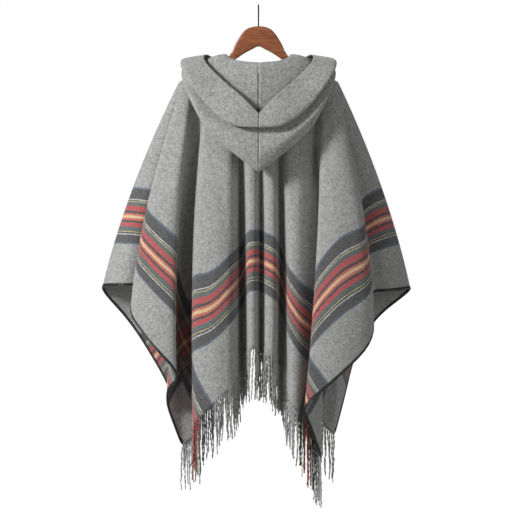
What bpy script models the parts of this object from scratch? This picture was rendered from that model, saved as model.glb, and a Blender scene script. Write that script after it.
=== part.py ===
"""Hooded blanket cape hanging on a wooden hanger, seen best from its back (-Y side).

Units in the tables are millimetres; the scene is in metres, +Z up, and the origin is the
inner top of the hanger's hook.  The body is one woven rectangle with a slit up the front.
A row of BODY_FOLDS is one line of that cloth, from the shoulder down to its lower edge:
where it is cut from, and where it hangs.  The wall runs smoothly through the rows in order.
"""
import math

import bmesh
import bpy
from mathutils import Vector

MM = 0.001

# --- driving dimensions (mm) -------------------------------------------------------------
WALL = 2.2              # thickness of the felted wool
SEAM_GAP = 0.3          # clearance between neighbouring pieces
NECK_HALF = 95.0        # half width of the neck hole
NECK_DROP_BACK = 45.0   # how far the neckline sags below the arms, behind and in front
NECK_DROP_FRONT = 85.0
ARM_SLOPE = 0.568       # fall of the hanger's arm for each mm outwards
ARM_TOP = -89.0         # height at which both arm lines would meet on the centre line
TIP = 232.0             # cut distance from the centre at which the cloth leaves the arm
ARM_SPREAD = 0.93       # level distance for each mm of cloth lying on the sloped arm
ARM_HALF = 10.5         # the cloth passes this far behind and in front of the arm's middle
LEAN = 0.07             # the hanging cloth swings this much towards the back for its drop
BIND_WIDTH = 10.0       # binding seen on each face
BIND_WALL = 1.0
BIND_CLEAR = 0.8        # between the binding's sides and the cloth inside it
BIND_FLOOR = 1.6        # between the cloth's edge and the binding's fold
FRINGE_LENGTH = 124.0
CORD_WIDTH = 4.0
CORD_PITCH = 19.0
STRIP_WIDTH = 3.0
SEAM_RISE = 2.0         # the hood's sewn edge above the neckline's
STRIP_GAP = 1.6         # between the hem and the strip that carries the cords
# sides of a binding's U section split the other way, so that it follows the cloth's facets
EDGE_SPLIT = (1, 2, 6)
LEFT_FRONT_SPLIT = (0, 1, 4)

ROW_LEVELS = (0.0, 0.014, 0.035, 0.08, 0.15, 0.25, 0.37, 0.5, 0.63, 0.76, 0.88, 0.987, 1.0)

# name, cut distance from centre at the top and at the lower edge, cut drop at the lower edge
# (front negative), half-way point x y z, lower end x y z, softness of the turn (0.5 is round)
BODY_FOLDS = (
    ("front_edge_left", -16, -16, -760, -10, 72, -541, -18, 148, -935, 0.35),
    ("pleat_fl", -40, -110, -760, -31, 114, -544, -40, 209, -946, 0.35),
    ("tuck_fl", -60, -250, -760, -54, 65, -565, -62, 130, -973, 0.35),
    ("panel_fl_inner", -84, -439, -760, -82, 121, -587, -90, 239, -1021, 0.35),
    ("panel_fl", -118, -517, -760, -125, 123, -630, -130, 260, -1059, 0.35),
    ("panel_fl_outer", -150, -595, -760, -170, 104, -657, -178, 220, -1085, 0.35),
    ("deep_fl", -172, -700, -760, -186, 77, -672, -176, 151, -1117, 0.35),
    ("corner_fl", -190, -800, -760, -208, 88, -668, -208, 181, -1138, 0.10),
    ("hang_fl", -206, -800, -600, -246, 90, -595, -259, 186, -1015, 0.30),
    ("wing_fl", -221, -800, -420, -297, 84, -528, -350, 195, -868, 0.35),
    ("tip_left", -232, -800, -230, -352, 60, -490, -444, 148, -761, 0.30),
    ("wing_left", -227, -800, -110, -302, 28, -493, -377, 53, -758, 0.35),
    ("under_left", -221, -800, 0, -273, 37, -498, -312, 72, -757, 0.35),
    ("lobe_left_outer", -213, -800, 130, -305, -7, -536, -354, -7, -825, 0.35),
    ("lobe_left", -203, -800, 290, -256, -30, -576, -281, -49, -919, 0.35),
    ("lobe_left_inner", -192, -800, 443, -210, -35, -606, -202, -56, -1002, 0.42),
    ("fold_left", -180, -800, 575, -226, 28, -635, -258, 39, -1053, 0.35),
    ("corner_left", -168, -800, 760, -204, 63, -715, -206, 70, -1195, 0.10),
    ("deep_left", -156, -690, 760, -166, 67, -690, -150, 84, -1150, 0.35),
    ("panel_left_outer", -142, -595, 760, -178, -14, -630, -184, -26, -1134, 0.35),
    ("panel_left", -110, -517, 760, -122, -30, -630, -120, -49, -1075, 0.35),
    ("panel_left_inner", -76, -439, 760, -66, -21, -579, -62, -32, -1016, 0.30),
    ("tuck_left", -54, -250, 760, -46, 67, -576, -44, 97, -962, 0.35),
    ("pleat_left_outer", -34, -100, 760, -30, -16, -544, -26, -28, -927, 0.30),
    ("pleat_left_inner", -16, -55, 760, -7, -16, -541, -7, -26, -925, 0.30),
    ("centre", 0, 0, 760, 6, 35, -544, 6, 56, -930, 0.35),
    ("pleat_right_inner", 16, 60, 760, 20, -14, -549, 19, -23, -933, 0.30),
    ("pleat_right_outer", 34, 110, 760, 46, -15, -560, 42, -28, -954, 0.30),
    ("tuck_right", 54, 270, 760, 62, 67, -587, 61, 97, -986, 0.45),
    ("panel_right_inner", 76, 439, 760, 78, -17, -619, 82, -26, -1059, 0.30),
    ("panel_right", 112, 517, 760, 110, -19, -654, 106, -23, -1107, 0.35),
    ("panel_right_outer", 130, 595, 760, 142, 12, -670, 126, 21, -1142, 0.35),
    ("deep_right", 150, 700, 760, 172, 67, -694, 158, 97, -1203, 0.42),
    ("corner_right", 166, 800, 760, 174, 14, -721, 166, 12, -1219, 0.10),
    ("fold_right", 180, 800, 650, 156, -12, -721, 137, -14, -1131, 0.35),
    ("lobe_right_inner", 192, 800, 555, 152, -44, -678, 112, -53, -1083, 0.35),
    ("lobe_right", 204, 800, 430, 218, -51, -603, 207, -67, -1005, 0.35),
    ("lobe_right_outer", 214, 800, 280, 292, -26, -587, 318, -28, -898, 0.45),
    ("under_right", 221, 800, 60, 266, 37, -528, 292, 67, -775, 0.35),
    ("wing_right", 227, 800, -70, 310, 28, -498, 371, 46, -772, 0.35),
    ("tip_right", 232, 800, -200, 343, 60, -490, 432, 151, -764, 0.30),
    ("wing_fr", 222, 800, -350, 288, 93, -533, 322, 204, -852, 0.35),
    ("hang_fr", 211, 800, -500, 252, 104, -595, 264, 220, -962, 0.35),
    ("turn_fr", 199, 800, -650, 234, 100, -649, 236, 169, -1070, 0.30),
    ("corner_fr", 186, 800, -760, 220, 81, -675, 206, 107, -1168, 0.10),
    ("crest_fr", 176, 765, -760, 206, 74, -667, 184, 121, -1148, 0.28),
    ("deep_fr", 160, 610, -760, 180, 67, -635, 152, 121, -1085, 0.35),
    ("panel_fr_outer", 134, 500, -760, 146, 118, -614, 116, 239, -1030, 0.35),
    ("panel_fr", 108, 400, -760, 112, 72, -598, 88, 144, -1000, 0.35),
    ("panel_fr_inner", 84, 300, -760, 82, 118, -576, 62, 241, -973, 0.35),
    ("tuck_fr", 60, 200, -760, 56, 67, -560, 44, 135, -951, 0.35),
    ("pleat_fr", 40, 100, -760, 32, 114, -544, 26, 211, -941, 0.35),
    ("front_edge_right", 16, 16, -760, 9, 72, -541, 8, 151, -935, 0.35),
)
FOLD_NAMES = [row[0] for row in BODY_FOLDS]
# the body's solids: name, and the rows at which each begins and ends
BODY_PANELS = (
    ("front_left_pleats", "front_edge_left", "panel_fl_inner"),
    ("front_left_panel", "panel_fl_inner", "deep_fl"),
    ("front_left_side", "deep_fl", "tip_left"),
    ("back_left_wing", "tip_left", "lobe_left_outer"),
    ("back_left_lobe", "lobe_left_outer", "fold_left"),
    ("back_left_flap", "fold_left", "deep_left"),
    ("back_left_panel", "deep_left", "panel_left_inner"),
    ("back_left_tuck", "panel_left_inner", "pleat_left_outer"),
    ("back_centre", "pleat_left_outer", "pleat_right_outer"),
    ("back_right_tuck", "pleat_right_outer", "panel_right_inner"),
    ("back_right_panel", "panel_right_inner", "panel_right_outer"),
    ("back_right_turn", "panel_right_outer", "deep_right"),
    ("back_right_flap", "deep_right", "lobe_right_inner"),
    ("back_right_lobe", "lobe_right_inner", "lobe_right_outer"),
    ("back_right_wing", "lobe_right_outer", "tip_right"),
    ("front_right_side", "tip_right", "corner_fr"),
    ("front_right_corner", "corner_fr", "deep_fr"),
    ("front_right_panel", "deep_fr", "panel_fr_inner"),
    ("front_right_pleats", "panel_fr_inner", "front_edge_right"),
)
INWARD_FOLDS = ("tuck_fl", "deep_fl", "deep_left", "tuck_left", "centre", "tuck_right",
                "deep_right", "deep_fr", "tuck_fr")
LEFT_TIP, RIGHT_TIP = FOLD_NAMES.index("tip_left"), FOLD_NAMES.index("tip_right")

# One hood half (the wearer's left, at -X): a row per section from the middle of the back
# over the shoulder to the front; each place is x y z on the way from the neckline seam,
# over the top fold, down inside, round the crown, up outside and under the flap to the
# face edge.
HOOD_PLACES = ("seam", "top fold", "inside", "crown", "pouch", "crease", "flap", "face edge")
HOOD_SECTIONS = (
    ("middle", (-0.3, -37, -180), (-0.3, -57, -160), (-0.3, -80, -300), (-0.3, -94, -453),
     (-0.3, -116, -404), (-0.3, -104, -328), (-0.3, -126, -336), (-0.3, -118, -299)),
    ("back", (-46, -30, -167), (-56, -48, -154), (-64, -72, -280), (-40, -92, -424),
     (-60, -114, -376), (-58, -100, -324), (-62, -124, -330), (-46, -108, -252)),
    ("side back", (-74, -15, -147), (-108, -30, -138), (-128, -52, -215), (-146, -74, -326),
     (-148, -92, -304), (-124, -82, -282), (-126, -104, -286), (-98, -84, -206)),
    ("shoulder back", (-87, -5, -133), (-120, -24, -142), (-158, -32, -178),
     (-190, -36, -218), (-203, -50, -206), (-186, -54, -192), (-203, -64, -180),
     (-142, -52, -158)),
    ("shoulder top", (-87, 5, -132), (-122, 5, -140), (-158, 7, -159), (-186, 10, -176),
     (-199, 14, -170), (-186, 16, -158), (-200, 20, -145), (-140, 16, -132)),
    ("front", (-28, 58, -211), (-36, 80, -188), (-62, 84, -202), (-96, 78, -226),
     (-106, 88, -219), (-94, 96, -206), (-102, 108, -196), (-56, 108, -180)),
)

# where each section's seam lies round the neck: cut distance from the centre, front negative
SEAM_CUTS = (0.3, 50, 80, 94, -94, -30)

# half of the hanger's arm: distance out, top, underside, half thickness
ARM_SECTIONS = (
    (0, -56, -111, 7.0), (18, -58, -119, 7.0), (37, -67, -129, 7.0), (62, -102, -146, 6.0),
    (72, -124, -155, 5.0), (84, -142, -164, 4.8), (92, -151, -170, 5.0), (100, -156, -174, 5.4), (130, -169, -188, 6.2),
    (165, -189, -208, 6.0), (186, -201, -218, 5.6), (194, -207, -215, 4.0),
)
HOOK_RADIUS = 20.0
HOOK_WIRE = 2.0

# name, red, green, blue, roughness, metallic
FINISHES = (
    ("wool", 0.42, 0.42, 0.41, 0.95, 0.0), ("binding", 0.02, 0.02, 0.02, 0.45, 0.0),
    ("yarn", 0.36, 0.35, 0.34, 0.95, 0.0), ("wood", 0.30, 0.10, 0.04, 0.35, 0.0),
    ("wire", 0.03, 0.03, 0.03, 0.3, 1.0),
)


# --- the cloth on its hanger --------------------------------------------------------------
def row_top(cut, front):
    """Place on the hanger, and drop in the cut, of the cloth at this distance from centre."""
    level = cut * ARM_SPREAD
    inside = 1.0 - min(1.0, (cut / NECK_HALF) ** 2)
    edge = NECK_HALF * ARM_SPREAD
    height = ARM_TOP - ARM_SLOPE * max(abs(level), edge) + WALL + 0.8
    if front:
        return Vector((level, 52.0 * inside, height - NECK_DROP_FRONT * inside)), -60.0 * inside
    return Vector((level, -26.0 * inside, height - NECK_DROP_BACK * inside)), 25.0 * inside


def row_point(index, part):
    """Place of one body row at this part of its length, and where that is in the cut."""
    cut_top, cut_low, drop_low, mx, my, mz, lx, ly, lz = BODY_FOLDS[index][1:-1]
    front = not LEFT_TIP < index < RIGHT_TIP
    top, drop_top = row_top(cut_top, front)
    middle = Vector((mx, my, mz))
    low = Vector((lx, ly, lz))
    place = top * (2 * part - 1) * (part - 1) + middle * 4 * part * (1 - part) \
        + low * part * (2 * part - 1)
    beyond = max(0.0, (abs(cut_top) - (TIP - 20.0)) / 20.0)
    side = 1.0 if front else -1.0
    wrap = side * ARM_HALF * math.sqrt(max(0.0, 1.0 - beyond * beyond))
    slid = min(1.0, (top.z - place.z) / 8.0 + 2.5 * max(0.0, 1.0 - abs(cut_top) / NECK_HALF))
    place.y += wrap * math.sin(max(0.0, slid) * math.pi / 2) + LEAN * (place.z - top.z)
    place.y += side * SEAM_GAP * 0.6 * (index not in (LEFT_TIP, RIGHT_TIP))
    cut = (cut_top + (cut_low - cut_top) * part, drop_top + (drop_low - drop_top) * part)
    return place, cut


def body_columns(level):
    """The wall's middle surface at one level: a list of (place, cut) across the whole body."""
    points = [row_point(index, level) for index in range(len(BODY_FOLDS))]
    softness = [row[-1] for row in BODY_FOLDS]
    columns = []

    def between(a, b, share):
        return (points[a][0].lerp(points[b][0], share),
                tuple(p + (q - p) * share for p, q in zip(points[a][1], points[b][1])))

    last = len(points) - 1
    columns.append(points[0])
    columns.append(between(0, 1, edge_share(points[0][0], points[1][0])))
    for i in range(1, last):
        start, end = between(i, i - 1, softness[i]), between(i, i + 1, softness[i])
        place = start[0] * 0.25 + points[i][0] * 0.5 + end[0] * 0.25
        cut = tuple(a * 0.25 + b * 0.5 + c * 0.25
                    for a, b, c in zip(start[1], points[i][1], end[1]))
        columns.extend((start, (place, cut), end))
    columns.append(between(last, last - 1, edge_share(points[last][0], points[last - 1][0])))
    columns.append(points[last])
    return columns


def edge_share(edge, neighbour):
    """Share of the way to the next row that lies one binding's width in from a front edge."""
    return min(0.4, BIND_WIDTH / max((neighbour - edge).length, 1.0))


def column_of(name):
    """Index of the column in the middle of a row's turn."""
    return 3 + 3 * (FOLD_NAMES.index(name) - 1)


def heading(line, k):
    """Direction of a line of places at its place k, halfway between both steps there."""
    before, here, after = line[max(k - 1, 0)], line[k], line[min(k + 1, len(line) - 1)]
    return (here - before).normalized() + (after - here).normalized()


def grid_normals(grid):
    """A unit normal at each point of a grid of places, pointing to the garment's outside."""
    upright = list(zip(*grid))
    normals = []
    for i, places in enumerate(grid):
        line = []
        for j in range(len(places)):
            normal = heading(upright[j], i).cross(heading(places, j))
            line.append(normal.normalized() if normal.length > 1e-9 else Vector((0, -1, 0)))
        normals.append(line)
    return normals


def level_shoulder(columns, normals):
    """Turn the top rims on the arms square to them, so that back and front stand clear."""
    for j, (place, (cut, drop)) in enumerate(columns[0]):
        lying = Vector((math.copysign(ARM_SLOPE, place.x), 0, 1)).normalized()
        hanging = min(1.0, max(0.0, abs(drop) / 20.0))
        normals[0][j] = lying.lerp(normals[0][j], hanging).normalized()


# --- solids -------------------------------------------------------------------------------
def finish_material(name):
    for label, red, green, blue, rough, metal in FINISHES:
        if label == name and label not in bpy.data.materials:
            material = bpy.data.materials.new(label)
            material.use_nodes = True
            shader = material.node_tree.nodes["Principled BSDF"]
            shader.inputs["Base Color"].default_value = (red, green, blue, 1.0)
            shader.inputs["Roughness"].default_value = rough
            shader.inputs["Metallic"].default_value = metal
    return bpy.data.materials[name]


def make_object(name, points, faces, finish):
    """One named closed solid from places in mm, with its faces turned outwards."""
    mesh = bpy.data.meshes.new(name)
    mesh.from_pydata([tuple(p * MM) for p in points], [], faces)
    work = bmesh.new()
    work.from_mesh(mesh)
    bmesh.ops.recalc_face_normals(work, faces=work.faces)
    if work.calc_volume(signed=True) < 0:
        bmesh.ops.reverse_faces(work, faces=work.faces)
    work.to_mesh(mesh)
    work.free()
    mesh.shade_smooth()
    mesh.set_sharp_from_angle(angle=math.radians(40))
    mesh.materials.append(finish_material(finish))
    piece = bpy.data.objects.new(name, mesh)
    bpy.context.scene.collection.objects.link(piece)
    return piece


def wall_from_grid(name, grid, normals, finish, thickness=WALL):
    """A wall of even thickness whose middle runs through the grid."""
    rows, count = len(grid), len(grid[0])
    points = []
    for side in (0.5, -0.5):
        for i in range(rows):
            points.extend(grid[i][j] + normals[i][j] * thickness * side for j in range(count))
    back = rows * count
    faces = []
    for i in range(rows - 1):
        for j in range(count - 1):
            a, b = i * count + j, i * count + j + 1
            c, d = (i + 1) * count + j + 1, (i + 1) * count + j
            faces += [(a, b, c), (a, c, d)]
            faces += [(a + back, c + back, b + back), (a + back, d + back, c + back)]
    rim = [j for j in range(count)]
    rim += [i * count + count - 1 for i in range(1, rows)]
    rim += [(rows - 1) * count + j for j in range(count - 2, -1, -1)]
    rim += [i * count for i in range(rows - 2, 0, -1)]
    right_edge = range(count - 1, count - 1 + rows - 1)
    for k, a in enumerate(rim):
        b = rim[(k + 1) % len(rim)]
        if k in right_edge:
            faces += [(b, a, a + back), (b, a + back, b + back)]
        else:
            faces += [(b, a, b + back), (a, a + back, b + back)]
    return make_object(name, points, faces, finish)


def swept(name, rings, finish, split=()):
    """A closed solid through rings of places, with flat ends.

    The sides named in split are cut along their other diagonal.
    """
    count = len(rings[0])
    points = [p for ring in rings for p in ring]
    faces = []
    for i in range(len(rings) - 1):
        for j in range(count):
            after = (j + 1) % count
            a, b = i * count + j, i * count + after
            if j in split:
                faces += [(a, b, a + count), (b, b + count, a + count)]
            else:
                faces += [(a, b, b + count), (a, b + count, a + count)]
    faces.append(tuple(range(count - 1, -1, -1)))
    faces.append(tuple(range(len(points) - count, len(points))))
    return make_object(name, points, faces, finish)


def parted(grid, first, last, part_first, part_last):
    """Columns first..last of the body; a parted end is pulled back by half a seam gap."""
    lines = []
    for line in grid:
        cells = [Vector(p) for p in line[first:last + 1]]
        if part_first:
            cells[0] += (cells[1] - cells[0]).normalized() * SEAM_GAP * 0.6
        if part_last:
            cells[-1] += (cells[-2] - cells[-1]).normalized() * SEAM_GAP * 0.6
        lines.append(cells)
    return lines


def build_body(grid, normals):
    """The one blanket as a solid for each group of folds, so that collision can follow it."""
    for name, start, stop in BODY_PANELS:
        first = column_of(start) if FOLD_NAMES.index(start) else 0
        last = column_of(stop) if stop != FOLD_NAMES[-1] else len(grid[0]) - 1
        cells = parted(grid, first, last, first > 0, last < len(grid[0]) - 1)
        wall_from_grid(name, cells, [line[first:last + 1] for line in normals], "wool")


def build_binding(name, edges, inners, edge_normals, inner_normals, split=EDGE_SPLIT):
    """A strip folded over a cloth edge: a U section that keeps the seam gap all round."""
    hollow, outer = WALL / 2 + BIND_CLEAR, WALL / 2 + BIND_CLEAR + BIND_WALL
    rings = []
    for edge, inner, n_edge, n_inner in zip(edges, inners, edge_normals, inner_normals):
        out = (edge - inner).normalized()
        mouth = inner
        floor, back = edge + out * BIND_FLOOR, edge + out * (BIND_FLOOR + BIND_WALL)
        rings.append([mouth + n_inner * outer, back + n_edge * outer, back - n_edge * outer,
                      mouth - n_inner * outer, mouth - n_inner * hollow,
                      floor - n_edge * hollow, floor + n_edge * hollow,
                      mouth + n_inner * hollow])
    swept(name, rings, "binding", split)


def build_bindings(grid, normals):
    for side, start, stop in (("left", "corner_fl", "corner_left"),
                              ("right", "corner_right", "corner_fr")):
        span = slice(column_of(start), column_of(stop) + 1)
        build_binding("binding_side_" + side, grid[-1][span], grid[-2][span],
                      normals[-1][span], normals[-2][span])
    rows = range(2, len(grid))
    for side, edge, inner, split in (("left", 0, 1, LEFT_FRONT_SPLIT),
                                     ("right", -1, -2, EDGE_SPLIT)):
        build_binding("binding_front_" + side, [grid[i][edge] for i in rows],
                      [grid[i][inner] for i in rows], [normals[i][edge] for i in rows],
                      [normals[i][inner] for i in rows], split)


def build_fringe(name, edges, inners, normals, start, stop, bare):
    """Cords hanging from a narrow strip just below the hem, one solid.

    The strip starts and stops some columns in, and carries no cord in the bare ones, where a
    fold turns inwards and a rod would run through the next wall.
    """
    stations = []                       # place, outwards, normal, "plain" / "opens" / "closes"
    waiting = 0.5
    for k in range(start, len(edges) - 1 - stop):
        a, b = edges[k], edges[k + 1]
        out_a, out_b = (a - inners[k]).normalized(), (b - inners[k + 1]).normalized()
        stations.append((a, out_a, normals[k], "plain"))
        room = (b - a).length
        waiting += room / CORD_PITCH
        count = int(waiting) if room > CORD_WIDTH * 3 and k not in bare else 0
        waiting -= int(waiting) if count else 0
        for n in range(count):
            middle, half = (n + 0.5) / count, CORD_WIDTH / 2 / room
            for share, kind in ((middle - half, "opens"), (middle + half, "closes")):
                stations.append((a.lerp(b, share), out_a.lerp(out_b, share).normalized(),
                                 normals[k].lerp(normals[k + 1], share).normalized(), kind))
    last = len(edges) - 1 - stop
    stations.append((edges[last], (edges[last] - inners[last]).normalized(),
                     normals[last], "plain"))
    points, faces, roots = [], [], []
    half = WALL / 2
    for k, (place, out, normal, kind) in enumerate(stations):
        top, low = place + out * STRIP_GAP, place + out * (STRIP_GAP + STRIP_WIDTH)
        base = len(points)
        points += [top + normal * half, top - normal * half,
                   low - normal * half, low + normal * half]
        if k:
            for a, b in ((0, 1), (1, 2), (2, 3), (3, 0)):
                if kind == "closes" and a == 2:
                    roots.append((base - 1, base - 2, base + 2, base + 3))
                    continue
                faces += [(base - 4 + a, base - 4 + b, base + a),
                          (base - 4 + b, base + b, base + a)]
    end = len(points)
    faces += [(3, 2, 1, 0), (end - 4, end - 3, end - 2, end - 1)]
    for k, ring in enumerate(roots):
        root = [points[i] for i in ring]
        centre = sum(root, Vector()) / 4
        reach = FRINGE_LENGTH * (1.0 + 0.14 * math.sin(2.3 * k) + 0.06 * math.sin(5.1 * k))
        for share, size in ((0.5, 1.4), (1.0, 1.0)):
            middle = centre + Vector((0, 0, -reach * share))
            new = []
            for place in root:
                spread = place - centre
                spread.z = 0.0
                new.append(len(points))
                points.append(middle + spread.normalized() * size)
            faces += [(ring[i], ring[(i + 1) % 4], new[(i + 1) % 4], new[i]) for i in range(4)]
            ring = new
        faces.append(tuple(ring))
    make_object(name, points, faces, "yarn")


def build_fringes(grid, normals):
    spans = (("fringe_front_left", 0, column_of("corner_fl"), 2, 1),
             ("fringe_back", column_of("corner_left"), column_of("corner_right"), 1, 1),
             ("fringe_front_right", column_of("corner_fr"), len(grid[0]) - 1, 1, 2))
    for name, first, last, start, stop in spans:
        span = slice(first, last + 1)
        bare = {column_of(fold) - first + step for fold in INWARD_FOLDS for step in (-1, 0)}
        build_fringe(name, grid[-1][span], grid[-2][span], normals[-1][span], start, stop, bare)


# --- hood ---------------------------------------------------------------------------------
def spline(points, share):
    """Place on a smooth curve through the points, share running from 0 to 1."""
    span = share * (len(points) - 1)
    i = min(int(span), len(points) - 2)
    t = span - i
    p1, p2 = points[i], points[i + 1]
    p0 = points[i - 1] if i else p1 * 2 - p2
    p3 = points[i + 2] if i + 2 < len(points) else p2 * 2 - p1
    d1, d2, d3 = (math.sqrt((b - a).length) for a, b in ((p0, p1), (p1, p2), (p2, p3)))
    m1 = p2 - p1 + d2 * ((p1 - p0) / d1 - (p2 - p0) / (d1 + d2))
    m2 = p2 - p1 + d2 * ((p3 - p2) / d3 - (p3 - p1) / (d2 + d3))
    return p1 + m1 * t + (p2 * 3 - p1 * 3 - m1 * 2 - m2) * t * t \
        + (p1 * 2 - p2 * 2 + m1 + m2) * t * t * t


def neckline(share):
    """Place on the neckline where the hood is sewn, and how flat the cloth lies there."""
    span = share * (len(SEAM_CUTS) - 1)
    i = min(int(span), len(SEAM_CUTS) - 2)
    ends = []
    for cut in SEAM_CUTS[i:i + 2]:
        if SEAM_CUTS[i] * SEAM_CUTS[i + 1] > 0:
            cut = SEAM_CUTS[i] + (SEAM_CUTS[i + 1] - SEAM_CUTS[i]) * (span - i)
        place, drop = row_top(-abs(cut), cut < 0)
        off_arm = min(1.0, 2.5 * (1.0 - abs(cut) / NECK_HALF))
        place.y -= math.copysign(ARM_HALF * math.sin(off_arm * math.pi / 2), cut)
        ends.append((place, 1.0 - min(1.0, abs(drop) / 20.0)))
    (start, flat_a), (end, flat_b) = ends
    return start.lerp(end, span - i), flat_a + (flat_b - flat_a) * (span - i)


def hood_grid(side, across=10, along=21):
    sections = [[Vector(p) for p in row[1:]] for row in HOOD_SECTIONS]
    grid = []
    for j in range(along + 1):
        line = [spline(section, j / along) for section in sections]
        cells = [spline(line, i / across) for i in range(across + 1)]
        if j == 0:
            for i in range(across + 1):
                place, flat = neckline(i / across)
                cells[i] = place + Vector((0, 0, SEAM_RISE + (WALL + SEAM_GAP) * flat))
        grid.append([Vector((side * -p.x, p.y, p.z)) for p in cells])
    return grid


def build_hood():
    for label, side in (("left", -1.0), ("right", 1.0)):
        grid = hood_grid(side)
        normals = grid_normals(grid)
        for j in range(len(grid)):
            down = heading([line[0] for line in grid], j)
            normals[j][0] = down.cross(Vector((side, 0, 0))).normalized()
        wall_from_grid("hood_" + label, grid, normals, "wool")


# --- hanger -------------------------------------------------------------------------------
def build_hanger():
    rings = []
    halves = [(-x, top, low, w) for x, top, low, w in reversed(ARM_SECTIONS[1:])]
    for x, top, low, half in halves + list(ARM_SECTIONS):
        ease = min(half * 0.55, (top - low) * 0.3)
        rings.append([Vector((x, y, z)) for y, z in (
            (half, top - ease), (half - ease, top), (ease - half, top), (-half, top - ease),
            (-half, low + ease), (ease - half, low), (half - ease, low), (half, low + ease))])
    swept("hanger_arm", rings, "wood")

    centre = -(HOOK_RADIUS - HOOK_WIRE)
    path = [Vector((0, 0, ARM_SECTIONS[0][1] + SEAM_GAP)), Vector((0, 0, -50)),
            Vector((0, 1.0, -44)), Vector((0, 5.5, -38.5))]
    for step in range(15):
        angle = math.radians(-48 + 248 * step / 14)
        path.append(Vector((0, HOOK_RADIUS * math.cos(angle),
                            centre + HOOK_RADIUS * math.sin(angle))))
    rings = []
    for k, place in enumerate(path):
        ahead = path[min(k + 1, len(path) - 1)] - path[max(k - 1, 0)]
        up = Vector((1, 0, 0)).cross(ahead).normalized()
        rings.append([place + Vector((1, 0, 0)) * HOOK_WIRE * math.cos(a)
                      + up * HOOK_WIRE * math.sin(a)
                      for a in (math.tau * s / 8 for s in range(8))])
    swept("hanger_hook", rings, "wire")


def main():
    for old in list(bpy.data.objects):
        bpy.data.objects.remove(old, do_unlink=True)
    columns = [body_columns(level) for level in ROW_LEVELS]
    grid = [[place for place, cut in line] for line in columns]
    normals = grid_normals(grid)
    level_shoulder(columns, normals)
    build_body(grid, normals)
    build_bindings(grid, normals)
    build_fringes(grid, normals)
    build_hood()
    build_hanger()


main()
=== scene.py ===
# %% [markdown]
# # Hooded blanket cape on a wooden hanger
# One woven wool blanket, slit up the front and cut out round the neck, hangs from a hanger
# with its back towards us.  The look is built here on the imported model's frame, piece by
# piece: cloth, hood, bindings, stitches, fringe and hanger.  Tables are in millimetres, the
# same ones as in the part's source; the scene is in metres.

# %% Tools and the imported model
import math

import bpy
import numpy as np
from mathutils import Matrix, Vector


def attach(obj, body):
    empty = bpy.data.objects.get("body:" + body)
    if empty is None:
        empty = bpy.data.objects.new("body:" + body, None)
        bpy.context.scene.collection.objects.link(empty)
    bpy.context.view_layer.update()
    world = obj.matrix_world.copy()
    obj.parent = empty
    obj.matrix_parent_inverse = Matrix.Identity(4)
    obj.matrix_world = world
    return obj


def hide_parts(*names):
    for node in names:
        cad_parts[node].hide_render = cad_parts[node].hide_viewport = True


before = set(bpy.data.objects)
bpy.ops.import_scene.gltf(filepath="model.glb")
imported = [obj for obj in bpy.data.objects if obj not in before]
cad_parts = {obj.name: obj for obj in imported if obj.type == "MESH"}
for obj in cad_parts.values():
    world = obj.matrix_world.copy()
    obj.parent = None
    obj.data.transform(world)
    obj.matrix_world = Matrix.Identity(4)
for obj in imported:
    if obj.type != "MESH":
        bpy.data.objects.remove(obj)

MM = 0.001
scene = bpy.context.scene


def linked(name, data):
    """A new object with this data, in the scene."""
    piece = bpy.data.objects.new(name, data)
    scene.collection.objects.link(piece)
    return piece


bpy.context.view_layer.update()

# %% [markdown]
# ## Camera
# The photographer stood square behind the garment and far off.  The view could be matched
# by eye in the viewport; here it is worked out.  The camera stands 6 m off with a long lens,
# and one picture width is 1.372 m at the cloth, which is 2.68 mm for each of the photograph's
# 512 pixels.

# %% Camera
PICTURE_WIDTH = 1.372
CAMERA_AT = Vector((-0.007, -6.0, -0.678))
CLOTH_Y = -0.06
PICTURE_PIXELS = 512
camera_data = bpy.data.cameras.new("camera")
camera_data.sensor_width = 36.0
camera_data.lens = 36.0 * (CLOTH_Y - CAMERA_AT.y) / PICTURE_WIDTH
camera_data.clip_end = 50.0
camera = linked("camera", camera_data)
camera.location = CAMERA_AT
camera.rotation_euler = (math.pi / 2, 0, 0)
scene.camera = camera
scene.render.resolution_x = scene.render.resolution_y = PICTURE_PIXELS
print("lens", round(camera_data.lens, 1))

# %% [markdown]
# ## The rows of the body
# The body is one flat rectangle of felted wool, 1600 mm between its bound edges and 1520 mm
# from hem to hem.  Blender's Cloth could drape it, but it seldom lands on the folds of one
# photograph.  So each row here is one straight line of the cut, from the shoulder to the
# lower edge, with the place where it hangs.  The places were read off, so a hung row may
# be up to an eighth longer than its line in the cut.  The table is the part's own, so this
# cloth lies on the solids; only the samples between the rows are finer.

# %% The rows of the body
WALL = 2.2              # thickness of the felted wool
SEAM_GAP = 0.3
NECK_HALF = 95.0        # half width of the neck hole
NECK_DROP_BACK = 45.0
NECK_DROP_FRONT = 85.0
ARM_SLOPE = 0.568       # fall of the hanger's arm for each mm outwards
ARM_TOP = -89.0
TIP = 232.0
ARM_SPREAD = 0.93
ARM_HALF = 10.5
LEAN = 0.07
BIND_WIDTH = 10.0
BIND_WALL = 1.0
BIND_CLEAR = 0.15       # the real strip is stitched tight to the cloth
SEAM_RISE = 2.0

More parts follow.
